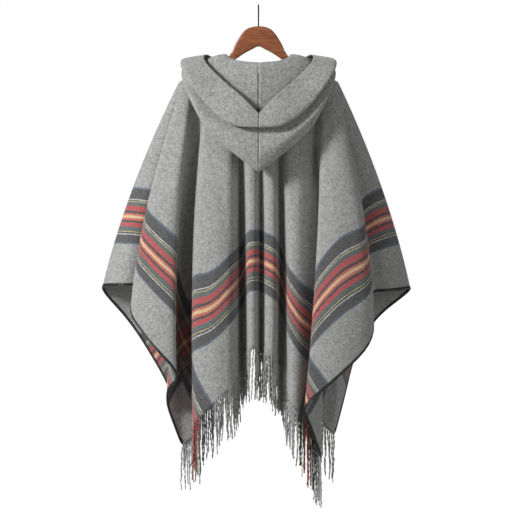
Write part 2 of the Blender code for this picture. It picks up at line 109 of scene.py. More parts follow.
# name, cut distance from centre at the top and at the lower edge, cut drop at the lower edge
# (front negative), half-way point x y z, lower end x y z, softness of the turn
BODY_FOLDS = (
    ("front_edge_left", -16, -16, -760, -10, 72, -541, -18, 148, -935, 0.35),
    ("pleat_fl", -40, -110, -760, -31, 114, -544, -40, 209, -946, 0.35),
    ("tuck_fl", -60, -250, -760, -54, 65, -565, -62, 130, -973, 0.35),
    ("panel_fl_inner", -84, -439, -760, -82, 121, -587, -90, 239, -1021, 0.35),
    ("panel_fl", -118, -517, -760, -125, 123, -630, -130, 260, -1059, 0.35),
    ("panel_fl_outer", -150, -595, -760, -170, 104, -657, -178, 220, -1085, 0.35),
    ("deep_fl", -172, -700, -760, -186, 77, -672, -176, 151, -1117, 0.35),
    ("corner_fl", -190, -800, -760, -208, 88, -668, -208, 181, -1138, 0.10),
    ("hang_fl", -206, -800, -600, -246, 90, -595, -259, 186, -1015, 0.30),
    ("wing_fl", -221, -800, -420, -297, 84, -528, -350, 195, -868, 0.35),
    ("tip_left", -232, -800, -230, -352, 60, -490, -444, 148, -761, 0.30),
    ("wing_left", -227, -800, -110, -302, 28, -493, -377, 53, -758, 0.35),
    ("under_left", -221, -800, 0, -273, 37, -498, -312, 72, -757, 0.35),
    ("lobe_left_outer", -213, -800, 130, -305, -7, -536, -354, -7, -825, 0.35),
    ("lobe_left", -203, -800, 290, -256, -30, -576, -281, -49, -919, 0.35),
    ("lobe_left_inner", -192, -800, 443, -210, -35, -606, -202, -56, -1002, 0.42),
    ("fold_left", -180, -800, 575, -226, 28, -635, -258, 39, -1053, 0.35),
    ("corner_left", -168, -800, 760, -204, 63, -715, -206, 70, -1195, 0.10),
    ("deep_left", -156, -690, 760, -166, 67, -690, -150, 84, -1150, 0.35),
    ("panel_left_outer", -142, -595, 760, -178, -14, -630, -184, -26, -1134, 0.35),
    ("panel_left", -110, -517, 760, -122, -30, -630, -120, -49, -1075, 0.35),
    ("panel_left_inner", -76, -439, 760, -66, -21, -579, -62, -32, -1016, 0.30),
    ("tuck_left", -54, -250, 760, -46, 67, -576, -44, 97, -962, 0.35),
    ("pleat_left_outer", -34, -100, 760, -30, -16, -544, -26, -28, -927, 0.30),
    ("pleat_left_inner", -16, -55, 760, -7, -16, -541, -7, -26, -925, 0.30),
    ("centre", 0, 0, 760, 6, 35, -544, 6, 56, -930, 0.35),
    ("pleat_right_inner", 16, 60, 760, 20, -14, -549, 19, -23, -933, 0.30),
    ("pleat_right_outer", 34, 110, 760, 46, -15, -560, 42, -28, -954, 0.30),
    ("tuck_right", 54, 270, 760, 62, 67, -587, 61, 97, -986, 0.45),
    ("panel_right_inner", 76, 439, 760, 78, -17, -619, 82, -26, -1059, 0.30),
    ("panel_right", 112, 517, 760, 110, -19, -654, 106, -23, -1107, 0.35),
    ("panel_right_outer", 130, 595, 760, 142, 12, -670, 126, 21, -1142, 0.35),
    ("deep_right", 150, 700, 760, 172, 67, -694, 158, 97, -1203, 0.42),
    ("corner_right", 166, 800, 760, 174, 14, -721, 166, 12, -1219, 0.10),
    ("fold_right", 180, 800, 650, 156, -12, -721, 137, -14, -1131, 0.35),
    ("lobe_right_inner", 192, 800, 555, 152, -44, -678, 112, -53, -1083, 0.35),
    ("lobe_right", 204, 800, 430, 218, -51, -603, 207, -67, -1005, 0.35),
    ("lobe_right_outer", 214, 800, 280, 292, -26, -587, 318, -28, -898, 0.45),
    ("under_right", 221, 800, 60, 266, 37, -528, 292, 67, -775, 0.35),
    ("wing_right", 227, 800, -70, 310, 28, -498, 371, 46, -772, 0.35),
    ("tip_right", 232, 800, -200, 343, 60, -490, 432, 151, -764, 0.30),
    ("wing_fr", 222, 800, -350, 288, 93, -533, 322, 204, -852, 0.35),
    ("hang_fr", 211, 800, -500, 252, 104, -595, 264, 220, -962, 0.35),
    ("turn_fr", 199, 800, -650, 234, 100, -649, 236, 169, -1070, 0.30),
    ("corner_fr", 186, 800, -760, 220, 81, -675, 206, 107, -1168, 0.10),
    ("crest_fr", 176, 765, -760, 206, 74, -667, 184, 121, -1148, 0.28),
    ("deep_fr", 160, 610, -760, 180, 67, -635, 152, 121, -1085, 0.35),
    ("panel_fr_outer", 134, 500, -760, 146, 118, -614, 116, 239, -1030, 0.35),
    ("panel_fr", 108, 400, -760, 112, 72, -598, 88, 144, -1000, 0.35),
    ("panel_fr_inner", 84, 300, -760, 82, 118, -576, 62, 241, -973, 0.35),
    ("tuck_fr", 60, 200, -760, 56, 67, -560, 44, 135, -951, 0.35),
    ("pleat_fr", 40, 100, -760, 32, 114, -544, 26, 211, -941, 0.35),
    ("front_edge_right", 16, 16, -760, 9, 72, -541, 8, 151, -935, 0.35),
)
FOLD_NAMES = [row[0] for row in BODY_FOLDS]
# the model's solids that the body stands for
BODY_NODES = ("front_left_pleats", "front_left_panel", "front_left_side", "back_left_wing",
              "back_left_lobe", "back_left_flap", "back_left_panel", "back_left_tuck",
              "back_centre", "back_right_tuck", "back_right_panel", "back_right_turn",
              "back_right_flap", "back_right_lobe", "back_right_wing", "front_right_side",
              "front_right_corner", "front_right_panel", "front_right_pleats")
LEFT_TIP, RIGHT_TIP = FOLD_NAMES.index("tip_left"), FOLD_NAMES.index("tip_right")
print(len(BODY_FOLDS), "rows")

# %% [markdown]
# ## Creases
# A felted blanket keeps a few soft creases that the big folds don't explain: drag lines from
# the shoulder's points, and bends left from being folded on a shelf.  They could be drawn in
# Sculpt Mode, but a table can be read and changed.  Each is given in the flat cut, as a line
# with a width and a depth, and pushes the cloth along its normal.

# %% Creases
# from across, from down, to across, to down, half width, depth (mm; front is negative down)
CREASES = (
    (-205, 60, -470, 520, 16, 2.4), (-190, 90, -330, 560, 14, -2.0),
    (-215, 40, -690, 260, 18, 2.6), (-225, 60, -640, 470, 20, -2.2),
    (205, 60, 430, 500, 16, 2.2), (190, 110, 300, 560, 14, -2.2),
    (215, 40, 680, 240, 18, 2.6), (225, 80, 610, 430, 20, -2.0),
    (-480, 300, -560, 640, 13, 2.0), (500, 330, 560, 650, 13, -2.2),
    (-90, 180, -140, 420, 18, 1.8), (80, 150, 190, 460, 18, 1.8),
    (-60, 470, -30, 700, 12, -1.6), (150, 480, 90, 720, 12, 1.6),
    (-760, 120, -640, 400, 14, 1.8), (760, 90, 650, 380, 14, 1.8),
    (-420, -300, -560, -640, 15, 2.0), (330, -280, 420, -640, 15, 2.0),
    (-640, 600, -560, 720, 12, 2.2), (620, 560, 700, 700, 12, 2.2),
)


def crease_height(across, down):
    """How far the creases lift the cloth at places of the cut, in mm."""
    height = np.zeros_like(across)
    for x0, y0, x1, y1, half, depth in CREASES:
        dx, dy = x1 - x0, y1 - y0
        length = math.hypot(dx, dy)
        along = ((across - x0) * dx + (down - y0) * dy) / length ** 2
        aside = ((across - x0) * dy - (down - y0) * dx) / length
        fade = np.clip(np.sin(np.clip(along, 0, 1) * math.pi), 0, 1)
        height += depth * fade * np.exp(-(aside / half) ** 2)
    return height


print(len(CREASES), "creases")

# %% [markdown]
# ## From rows to a surface
# Between two rows the wool bends as one thick sheet.  A NURBS surface could be laid through
# the rows; the part's own formulas are used instead, so that both meet to the millimetre.
# `row_point` runs each row as a parabola through three hung points, and a small quadratic
# curve rounds each turn between rows.

# %% From rows to a surface
def row_top(cut, front):
    """Place on the hanger, and drop in the cut, of the cloth at this distance from centre."""
    level = cut * ARM_SPREAD
    inside = 1.0 - min(1.0, (cut / NECK_HALF) ** 2)
    edge = NECK_HALF * ARM_SPREAD
    height = ARM_TOP - ARM_SLOPE * max(abs(level), edge) + WALL + 0.8
    if front:
        return Vector((level, 52.0 * inside, height - NECK_DROP_FRONT * inside)), -60.0 * inside
    return Vector((level, -26.0 * inside, height - NECK_DROP_BACK * inside)), 25.0 * inside


def row_point(index, part):
    """Place of one body row at this part of its length, and where that is in the cut."""
    cut_top, cut_low, drop_low, mx, my, mz, lx, ly, lz = BODY_FOLDS[index][1:-1]
    front = not LEFT_TIP < index < RIGHT_TIP
    top, drop_top = row_top(cut_top, front)
    middle = Vector((mx, my, mz))
    low = Vector((lx, ly, lz))
    place = top * (2 * part - 1) * (part - 1) + middle * 4 * part * (1 - part) \
        + low * part * (2 * part - 1)
    beyond = max(0.0, (abs(cut_top) - (TIP - 20.0)) / 20.0)
    side = 1.0 if front else -1.0
    wrap = side * ARM_HALF * math.sqrt(max(0.0, 1.0 - beyond * beyond))
    slid = min(1.0, (top.z - place.z) / 8.0 + 2.5 * max(0.0, 1.0 - abs(cut_top) / NECK_HALF))
    place.y += wrap * math.sin(max(0.0, slid) * math.pi / 2) + LEAN * (place.z - top.z)
    place.y += side * SEAM_GAP * 0.6 * (index not in (LEFT_TIP, RIGHT_TIP))
    cut = (cut_top + (cut_low - cut_top) * part, drop_top + (drop_low - drop_top) * part)
    return place, cut

LEVELS = sorted({(i / 74) ** 1.15 * 0.975 for i in range(75)} | {0.987, 1.0})
TURN_SAMPLES = 6
FLAT_SAMPLES = 2


def edge_share(edge, neighbour):
    """Share of the way to the next row that lies one binding's width in from a front edge."""
    return min(0.4, BIND_WIDTH / max((neighbour - edge).length, 1.0))


def body_columns(level):
    """The cloth's middle at one level, and the column at which each row's turn is centred."""
    points = [row_point(index, level) for index in range(len(BODY_FOLDS))]
    soft = [min(0.48, row[-1] + 0.08) for row in BODY_FOLDS]
    last = len(points) - 1

    def between(a, b, share):
        return (points[a][0].lerp(points[b][0], share),
                tuple(p + (q - p) * share for p, q in zip(points[a][1], points[b][1])))

    columns = [points[0], between(0, 1, edge_share(points[0][0], points[1][0]))]
    centres = {0: 0}
    for i in range(1, last):
        start, end = between(i, i - 1, soft[i]), between(i, i + 1, soft[i])
        centres[i] = len(columns) + TURN_SAMPLES // 2
        for k in range(TURN_SAMPLES + 1):
            t = k / TURN_SAMPLES
            a, b, c = (1 - t) ** 2, 2 * t * (1 - t), t * t
            columns.append((start[0] * a + points[i][0] * b + end[0] * c,
                            tuple(p * a + q * b + r * c
                                  for p, q, r in zip(start[1], points[i][1], end[1]))))
        if i < last - 1:
            room = 1 - soft[i + 1]
            for k in range(1, FLAT_SAMPLES + 1):
                share = soft[i] + (room - soft[i]) * k / (FLAT_SAMPLES + 1)
                columns.append(between(i, i + 1, share))
    columns.append(between(last, last - 1, edge_share(points[last][0], points[last - 1][0])))
    centres[last] = len(columns)
    columns.append(points[last])
    return columns, centres


def heading(line, k):
    """Direction of a line of places at its place k, halfway between both steps there."""
    before, here, after = line[max(k - 1, 0)], line[k], line[min(k + 1, len(line) - 1)]
    return (here - before).normalized() + (after - here).normalized()


def grid_normals(grid):
    """A unit normal at each point of a grid of places, pointing to the garment's outside."""
    upright = list(zip(*grid))
    normals = []
    for i, places in enumerate(grid):
        line = []
        for j in range(len(places)):
            normal = heading(upright[j], i).cross(heading(places, j))
            line.append(normal.normalized() if normal.length > 1e-9 else Vector((0, -1, 0)))
        normals.append(line)
    return normals

lines = [body_columns(level) for level in LEVELS]
CENTRES = lines[0][1]
body_cut = [[cut for place, cut in columns] for columns, _ in lines]
body_grid = [[place for place, cut in columns] for columns, _ in lines]
body_normals = grid_normals(body_grid)
for j, (cut, drop) in enumerate(body_cut[0]):
    lying = Vector((math.copysign(ARM_SLOPE, body_grid[0][j].x), 0, 1)).normalized()
    hanging = min(1.0, max(0.0, abs(drop) / 20.0))
    body_normals[0][j] = lying.lerp(body_normals[0][j], hanging).normalized()
cut_array = np.array(body_cut)
lift = crease_height(cut_array[..., 0], cut_array[..., 1])
ramp = np.minimum(1.0, np.array(LEVELS) * 8)[:, None] * np.minimum(
    1.0, (1 - np.array(LEVELS)) * 12)[:, None]
lift *= ramp
body_grid = [[p + n * float(h) for p, n, h in zip(*row)]
             for row in zip(body_grid, body_normals, lift)]
print(len(body_grid), "levels of", len(body_grid[0]), "columns")


def column_of(name):
    return CENTRES[FOLD_NAMES.index(name)]

# %% [markdown]
# ## Dyes and yarns as node groups
# The wool is dyed before it is woven: a grey melange ground, mottled at the size of a felted
# nap, and bands of coloured yarn.  An image could carry them, but it would blur close to.
# Node groups stay sharp and are shared by all the wool.  The bands are read from where in the
# cut a place is, so they follow the cloth round every fold and cross at the corners.

# %% Dyes and yarns as node groups
# share of a band's width at which a new yarn starts, and its colour
BAND = (
    (0.0, (0.055, 0.085, 0.135)), (0.03, (0.028, 0.029, 0.032)), (0.20, (0.52, 0.52, 0.50)),
    (0.215, (0.028, 0.029, 0.032)), (0.238, (0.46, 0.38, 0.17)), (0.252, (0.055, 0.085, 0.085)),
    (0.32, (0.380, 0.030, 0.034)), (0.41, (0.018, 0.016, 0.018)), (0.45, (0.470, 0.085, 0.060)),
    (0.487, (0.640, 0.440, 0.230)), (0.532, (0.470, 0.085, 0.060)), (0.572, (0.018, 0.016, 0.018)),
    (0.612, (0.380, 0.030, 0.034)), (0.685, (0.055, 0.085, 0.085)), (0.752, (0.028, 0.029, 0.032)),
    (0.768, (0.46, 0.38, 0.17)), (0.782, (0.028, 0.029, 0.032)), (0.815, (0.52, 0.52, 0.50)),
    (0.83, (0.028, 0.029, 0.032)), (0.97, (0.055, 0.085, 0.135)),
)
BAND_WIDTH = 0.160
HEM_BAND = 0.455        # metres from the shoulder line to the hem band
SIDE_BAND = 0.515       # metres from the centre line to the side band
GREY_DARK, GREY_LIGHT = (0.150, 0.151, 0.145), (0.440, 0.442, 0.425)
NAP_SCALE, CLOUD_SCALE = 400.0, 110.0   # features for each metre, roughly
NAP_SHARE = 0.76


class Nodes:
    """A short way to add and join the nodes of one tree."""

    def __init__(self, tree):
        self.tree = tree

    def add(self, kind, inputs=None, **settings):
        node = self.tree.nodes.new(kind)
        for key, value in settings.items():
            setattr(node, key, value)
        for key, value in (inputs or {}).items():
            self.put(node.inputs[key], value)
        return node

    def put(self, socket, value):
        if isinstance(value, bpy.types.NodeSocket):
            self.tree.links.new(value, socket)
        else:
            socket.default_value = value

    def math(self, operation, *values):
        node = self.tree.nodes.new("ShaderNodeMath")
        node.operation = operation
        for socket, value in zip(node.inputs, values):
            self.put(socket, value)
        return node.outputs[0]

    def blend(self, factor, first, second):
        """A mix of two colours; a Mix node's colour sockets are found only by their number."""
        mix = self.add("ShaderNodeMix", data_type="RGBA")
        for number, value in ((0, factor), (6, first), (7, second)):
            self.put(mix.inputs[number], value)
        return mix.outputs[2]


def new_group(name, sockets):
    """A shader group with named sockets: (label, kind, way, default)."""
    tree = bpy.data.node_groups.new(name, "ShaderNodeTree")
    for label, kind, way, default in sockets:
        socket = tree.interface.new_socket(label, in_out=way, socket_type=kind)
        if default is not None:
            socket.default_value = default
    return tree


def melange_group():
    tree = new_group("melange", (
        ("Vector", "NodeSocketVector", "INPUT", None),
        ("Dark", "NodeSocketColor", "INPUT", GREY_DARK + (1,)),
        ("Light", "NodeSocketColor", "INPUT", GREY_LIGHT + (1,)),
        ("Color", "NodeSocketColor", "OUTPUT", None),
        ("Height", "NodeSocketFloat", "OUTPUT", None)))
    n = Nodes(tree)
    source = n.add("NodeGroupInput")
    nap = n.add("ShaderNodeTexNoise", {"Vector": source.outputs["Vector"], "Scale": NAP_SCALE,
                                      "Detail": 4.0, "Roughness": 0.7})
    cloud = n.add("ShaderNodeTexNoise", {"Vector": source.outputs["Vector"], "Scale": CLOUD_SCALE,
                                        "Detail": 3.0, "Roughness": 0.6})
    both = n.math("ADD", n.math("MULTIPLY", nap.outputs["Fac"], NAP_SHARE),
                  n.math("MULTIPLY", cloud.outputs["Fac"], 1.0 - NAP_SHARE))
    sharp = n.add("ShaderNodeMapRange", {"Value": both, "From Min": 0.40, "From Max": 0.60})
    colour = n.blend(sharp.outputs[0], source.outputs["Dark"], source.outputs["Light"])
    n.add("NodeGroupOutput", {"Color": colour, "Height": both})
    return tree


def band_group():
    tree = new_group("woven_band", (
        ("Distance", "NodeSocketFloat", "INPUT", 0.0),
        ("Start", "NodeSocketFloat", "INPUT", HEM_BAND),
        ("Color", "NodeSocketColor", "OUTPUT", None),
        ("Mask", "NodeSocketFloat", "OUTPUT", None)))
    n = Nodes(tree)
    source = n.add("NodeGroupInput")
    share = n.math("DIVIDE", n.math("SUBTRACT", source.outputs["Distance"],
                                    source.outputs["Start"]), BAND_WIDTH)
    colours = n.add("ShaderNodeValToRGB", {"Fac": share})
    colours.color_ramp.interpolation = "CONSTANT"
    stops = colours.color_ramp.elements
    stops[0].position, stops[1].position = 0.0, BAND[1][0]
    for k, (position, colour) in enumerate(BAND):
        stop = stops[k] if k < 2 else stops.new(position)
        stop.color = colour + (1,)
    inside = n.math("MULTIPLY", n.math("GREATER_THAN", share, 0.0),
                    n.math("LESS_THAN", share, 1.0))
    n.add("NodeGroupOutput", {"Color": colours.outputs["Color"], "Mask": inside})
    return tree


MELANGE, WOVEN_BAND = melange_group(), band_group()
print("groups", MELANGE.name, WOVEN_BAND.name)

# %% [markdown]
# ## Materials
# Felted wool is rough, with a little sheen from its nap; the binding is a smooth black strip;
# the cords are the same yarns as the part of the hem that they hang from.  Each could have its
# own copy of the dye's nodes, but then a change to one would miss the others.  Where a hem
# band and a side band cross, the cloth shows both yarns, half and half, as a plain weave does.

# %% Materials
def new_material(name, roughness, sheen=0.0, metallic=0.0):
    material = bpy.data.materials.new(name)
    material.use_nodes = True
    n = Nodes(material.node_tree)
    shader = material.node_tree.nodes["Principled BSDF"]
    shader.inputs["Roughness"].default_value = roughness
    shader.inputs["Sheen Weight"].default_value = sheen
    shader.inputs["Metallic"].default_value = metallic
    return material, n, shader


def bands_over(n, across, down, ground, wobble):
    """The ground colour with the side band and the hem band woven into it."""
    side, hem = (n.add("ShaderNodeGroup", {
        "Distance": n.math("ADD", n.math("ABSOLUTE", cut), wobble), "Start": start},
        node_tree=WOVEN_BAND) for cut, start in ((across, SIDE_BAND), (down, HEM_BAND)))
    colour = n.blend(side.outputs["Mask"], ground, side.outputs["Color"])
    share = n.math("MULTIPLY", hem.outputs["Mask"],
                   n.math("SUBTRACT", 1.0, n.math("MULTIPLY", side.outputs["Mask"], 0.5)))
    return n.blend(share, colour, hem.outputs["Color"])


def bump(n, shader, height, distance, strength=1.0):
    node = n.add("ShaderNodeBump", {"Height": height, "Distance": distance,
                                    "Strength": strength})
    n.put(shader.inputs["Normal"], node.outputs["Normal"])


FELTED_GREY = (0.36, 0.36, 0.355, 1)    # felting pulls this much grey nap over the dyed yarns
FELTED_LEAST, FELTED_MOST = 0.02, 0.28
NAP_RELIEF, CORD_RELIEF = 0.0016, 0.0008


def wool_material(name, banded):
    material, n, shader = new_material(name, 0.95, sheen=0.25)
    shader.inputs["Sheen Roughness"].default_value = 0.6
    place = n.add("ShaderNodeTexCoord").outputs["Object"]
    ground = n.add("ShaderNodeGroup", {"Vector": place}, node_tree=MELANGE)
    colour = ground.outputs["Color"]
    if banded:
        cut = n.add("ShaderNodeSeparateXYZ",
                    {"Vector": n.add("ShaderNodeUVMap", uv_map="cut").outputs["UV"]})
        hairy = n.add("ShaderNodeTexNoise", {"Vector": place, "Scale": 260.0, "Detail": 2.0})
        wobble = n.math("MULTIPLY", n.math("SUBTRACT", hairy.outputs["Fac"], 0.5), 0.006)
        dyed = bands_over(n, cut.outputs["X"], cut.outputs["Y"], colour, wobble)
        tint = n.add("ShaderNodeMapRange", {"Value": ground.outputs["Height"], "From Min": 0.36,
                                            "From Max": 0.64, "To Min": FELTED_LEAST,
                                            "To Max": FELTED_MOST})
        colour = n.blend(tint.outputs[0], dyed, FELTED_GREY)
    n.put(shader.inputs["Base Color"], colour)
    bump(n, shader, ground.outputs["Height"], NAP_RELIEF, 0.85)
    return material


def yarn_material():
    material, n, shader = new_material("yarn_look", 0.9, sheen=0.2)
    across = n.add("ShaderNodeAttribute", attribute_name="cut_across").outputs["Fac"]
    place = n.add("ShaderNodeTexCoord").outputs["Object"]
    ground = n.add("ShaderNodeGroup", {"Vector": place, "Dark": (0.20, 0.20, 0.198, 1)},
                   node_tree=MELANGE)
    colour = bands_over(n, across, 0.0, ground.outputs["Color"], 0.0)
    n.put(shader.inputs["Base Color"], n.blend(0.12, colour, ground.outputs["Color"]))
    bump(n, shader, ground.outputs["Height"], CORD_RELIEF)
    return material


def plain_material(name, colour, roughness, metallic=0.0, grain=0.0):
    material, n, shader = new_material(name, roughness, metallic=metallic)
    shader.inputs["Base Color"].default_value = colour + (1,)
    if grain:
        place = n.add("ShaderNodeTexCoord").outputs["Object"]
        noise = n.add("ShaderNodeTexNoise", {"Vector": place, "Scale": 900.0, "Detail": 3.0})
        bump(n, shader, noise.outputs["Fac"], grain)
    return material


def wood_material():
    material, n, shader = new_material("wood_look", 0.32)
    place = n.add("ShaderNodeTexCoord").outputs["Object"]
    stretched = n.add("ShaderNodeMapping", {"Vector": place, "Scale": (6.0, 60.0, 60.0)})
    grain = n.add("ShaderNodeTexNoise", {"Vector": stretched.outputs[0], "Scale": 5.0,
                                        "Detail": 6.0, "Distortion": 0.8})
    sharp = n.add("ShaderNodeMapRange", {"Value": grain.outputs["Fac"], "From Min": 0.35,
                                         "From Max": 0.68})
    colour = n.blend(sharp.outputs[0], (0.33, 0.115, 0.045, 1), (0.16, 0.042, 0.016, 1))
    n.put(shader.inputs["Base Color"], colour)
    shader.inputs["Coat Weight"].default_value = 0.35
    shader.inputs["Coat Roughness"].default_value = 0.2
    return material


WOOL = wool_material("wool_look", banded=True)
HOOD_WOOL = wool_material("hood_look", banded=False)
YARN = yarn_material()
BINDING = plain_material("binding_look", (0.012, 0.012, 0.013), 0.42, grain=0.0004)
THREAD = plain_material("thread_look", (0.035, 0.035, 0.036), 0.6)
GREY_THREAD = plain_material("grey_thread_look", (0.30, 0.30, 0.295), 0.7)
WOOD = wood_material()
WIRE = plain_material("wire_look", (0.015, 0.015, 0.015), 0.3, metallic=0.9)
print("materials", len(bpy.data.materials))

# %% [markdown]
# ## Making a sheet
# The real wool is 2.2 mm thick, which shows at its cut edges.  A Solidify modifier could
# thicken a plain surface; here both faces and the rim are made at once, because the same step
# can give every place its cut as a UV.

# %% Making a sheet
def shell(name, grid, normals, material, thickness=WALL, cut=None):
    """A thin closed shell on a grid of places in mm, with the cut as its UV map."""
    middle = np.array([[tuple(p) for p in row] for row in grid])
    facing = np.array([[tuple(p) for p in row] for row in normals])
    rows, count = middle.shape[:2]
    back = rows * count
    points = np.concatenate([(middle + facing * thickness * side).reshape(-1, 3)
                             for side in (0.5, -0.5)]) * MM
    a = (np.arange(rows - 1)[:, None] * count + np.arange(count - 1)[None, :]).ravel()
    quads = np.stack([a, a + 1, a + count + 1, a + count], axis=1)
    rim = list(range(count)) + [i * count + count - 1 for i in range(1, rows)]
    rim += [(rows - 1) * count + j for j in range(count - 2, -1, -1)]
    rim += [i * count for i in range(rows - 2, 0, -1)]
    rim = np.array(rim)
    after = np.roll(rim, -1)
    faces = np.concatenate([quads[:, ::-1], quads + back,
                            np.stack([rim, after, after + back, rim + back], axis=1)])
    mesh = bpy.data.meshes.new(name)
    mesh.from_pydata(points.tolist(), [], faces.tolist())
    if cut is not None:
        flat = np.array(cut).reshape(-1, 2) * MM
        both = np.concatenate([flat, flat])
        layer = mesh.uv_layers.new(name="cut")
        corner = np.zeros(len(mesh.loops), dtype=np.int32)
        mesh.loops.foreach_get("vertex_index", corner)
        layer.data.foreach_set("uv", both[corner].astype(np.float32).ravel())
    mesh.validate()
    mesh.shade_smooth()
    mesh.materials.append(material)
    return linked(name, mesh)


cloak = shell("cloak_cloth", body_grid, body_normals, WOOL, cut=body_cut)
print("cloak faces", len(cloak.data.polygons))

# %% [markdown]
# ## Hood
# Two mirrored halves are sewn down the middle and onto the neckline, and the hood lies down
# the back.  It could be sculpted, but then its seam would not meet the neckline.  Each half is
# drawn as sections from the middle of the back over the shoulder to the front; each section
# runs from the seam over the top fold, down inside, round the crown and up to the face edge.

# %% Hood
HOOD_SECTIONS = (
    ("middle", (-0.3, -37, -180), (-0.3, -57, -160), (-0.3, -80, -300), (-0.3, -94, -453),
     (-0.3, -116, -404), (-0.3, -104, -328), (-0.3, -126, -336), (-0.3, -118, -299)),
    ("back", (-46, -30, -167), (-56, -48, -154), (-64, -72, -280), (-40, -92, -424),
     (-60, -114, -376), (-58, -100, -324), (-62, -124, -330), (-46, -108, -252)),
    ("side back", (-74, -15, -147), (-108, -30, -138), (-128, -52, -215), (-146, -74, -326),
     (-148, -92, -304), (-124, -82, -282), (-126, -104, -286), (-98, -84, -206)),
    ("shoulder back", (-87, -5, -133), (-120, -24, -142), (-158, -32, -178),
     (-190, -36, -218), (-203, -50, -206), (-186, -54, -192), (-203, -64, -180),
     (-142, -52, -158)),
    ("shoulder top", (-87, 5, -132), (-122, 5, -140), (-158, 7, -159), (-186, 10, -176),
     (-199, 14, -170), (-186, 16, -158), (-200, 20, -145), (-140, 16, -132)),
    ("front", (-28, 58, -211), (-36, 80, -188), (-62, 84, -202), (-96, 78, -226),
     (-106, 88, -219), (-94, 96, -206), (-102, 108, -196), (-56, 108, -180)),
)
SEAM_CUTS = (0.3, 50, 80, 94, -94, -30)
HOOD_ACROSS, HOOD_ALONG = 60, 132


def spline(points, share):
    """Place on a smooth curve through the points, share running from 0 to 1."""
    span = share * (len(points) - 1)
    i = min(int(span), len(points) - 2)
    t = span - i
    p1, p2 = points[i], points[i + 1]
    p0 = points[i - 1] if i else p1 * 2 - p2
    p3 = points[i + 2] if i + 2 < len(points) else p2 * 2 - p1
    d1, d2, d3 = (math.sqrt((b - a).length) for a, b in ((p0, p1), (p1, p2), (p2, p3)))
    m1 = p2 - p1 + d2 * ((p1 - p0) / d1 - (p2 - p0) / (d1 + d2))
    m2 = p2 - p1 + d2 * ((p3 - p2) / d3 - (p3 - p1) / (d2 + d3))
    return p1 + m1 * t + (p2 * 3 - p1 * 3 - m1 * 2 - m2) * t * t \
        + (p1 * 2 - p2 * 2 + m1 + m2) * t * t * t

def neckline(share):
    """Place on the neckline where the hood is sewn, and how flat the cloth lies there."""
    span = share * (len(SEAM_CUTS) - 1)
    i = min(int(span), len(SEAM_CUTS) - 2)
    ends = []
    for cut in SEAM_CUTS[i:i + 2]:
        if SEAM_CUTS[i] * SEAM_CUTS[i + 1] > 0:
            cut = SEAM_CUTS[i] + (SEAM_CUTS[i + 1] - SEAM_CUTS[i]) * (span - i)
        place, drop = row_top(-abs(cut), cut < 0)
        off_arm = min(1.0, 2.5 * (1.0 - abs(cut) / NECK_HALF))
        place.y -= math.copysign(ARM_HALF * math.sin(off_arm * math.pi / 2), cut)
        ends.append((place, 1.0 - min(1.0, abs(drop) / 20.0)))
    (start, flat_a), (end, flat_b) = ends
    return start.lerp(end, span - i), flat_a + (flat_b - flat_a) * (span - i)

def hood_grid(side):
    sections = [[Vector(p) for p in row[1:]] for row in HOOD_SECTIONS]
    grid = []
    for j in range(HOOD_ALONG + 1):
        line = [spline(section, j / HOOD_ALONG) for section in sections]
        cells = [spline(line, i / HOOD_ACROSS) for i in range(HOOD_ACROSS + 1)]
        settle = max(0.0, 1.0 - j / 6.0)
        for i in range(HOOD_ACROSS + 1):
            if settle:
                place, flat = neckline(i / HOOD_ACROSS)
                place = place + Vector((0, 0, SEAM_RISE + (WALL + SEAM_GAP) * flat))
                cells[i] = cells[i].lerp(place, settle ** 2)
        grid.append([Vector((side * -p.x, p.y, p.z)) for p in cells])
    return grid


def hood_normals(grid, side):
    normals = grid_normals(grid)
    middle = [line[0] for line in grid]
    for j in range(len(grid)):
        normals[j][0] = heading(middle, j).cross(Vector((side, 0, 0))).normalized()
    return normals


hoods = {}
for label, side in (("left", -1.0), ("right", 1.0)):
    grid = hood_grid(side)
    normals = hood_normals(grid, side)
    piece = shell("hood_cloth_" + label, grid, normals, HOOD_WOOL)
    hoods[label] = (piece, grid, normals)
print("hood faces", len(piece.data.polygons))

# %% [markdown]
# ## Bindings
# A narrow black strip is folded over each raw side edge and front edge and stitched through,
# so its section is a U that holds the cloth's rim.  A curve with a bevel could run round the
# edge, but it would twist at the corners: here the U is carried along the cloth's own edge
# and normals.

# %% Bindings
def tube(rings):
    """Points and faces of a closed tube through rings of places in mm, with flat ends."""
    count, total = len(rings[0]), len(rings) * len(rings[0])
    points = [tuple(place * MM) for ring in rings for place in ring]
    faces = [(i + j, i + (j + 1) % count, i + (j + 1) % count + count, i + j + count)
             for i in range(0, total - count, count) for j in range(count)]
    return points, faces + [tuple(range(count - 1, -1, -1)), tuple(range(total - count, total))]


def swept(name, rings, material):
    """A closed solid through rings of places."""
    mesh = bpy.data.meshes.new(name)
    points, faces = tube(rings)
    mesh.from_pydata(points, [], faces)
    mesh.validate()
    mesh.shade_smooth()
    mesh.set_sharp_from_angle(angle=math.radians(50))
    mesh.materials.append(material)
    return linked(name, mesh)


def binding(name, edges, inners, edge_normals, inner_normals):
    hollow = WALL / 2 + BIND_CLEAR
    outer = hollow + BIND_WALL
    rings = []
    for edge, inner, n_edge, n_inner in zip(edges, inners, edge_normals, inner_normals):
        out = (edge - inner).normalized()
        bend, back = edge + out * SEAM_GAP, edge + out * (SEAM_GAP + BIND_WALL)
        rings.append([inner + n_inner * hollow, inner + n_inner * outer * 0.96,
                      bend + n_edge * outer, back + n_edge * hollow * 0.6,
                      back - n_edge * hollow * 0.6, bend - n_edge * outer,
                      inner - n_inner * outer * 0.96, inner - n_inner * hollow,
                      bend - n_edge * hollow, bend + n_edge * hollow])
    return swept(name, rings, BINDING)


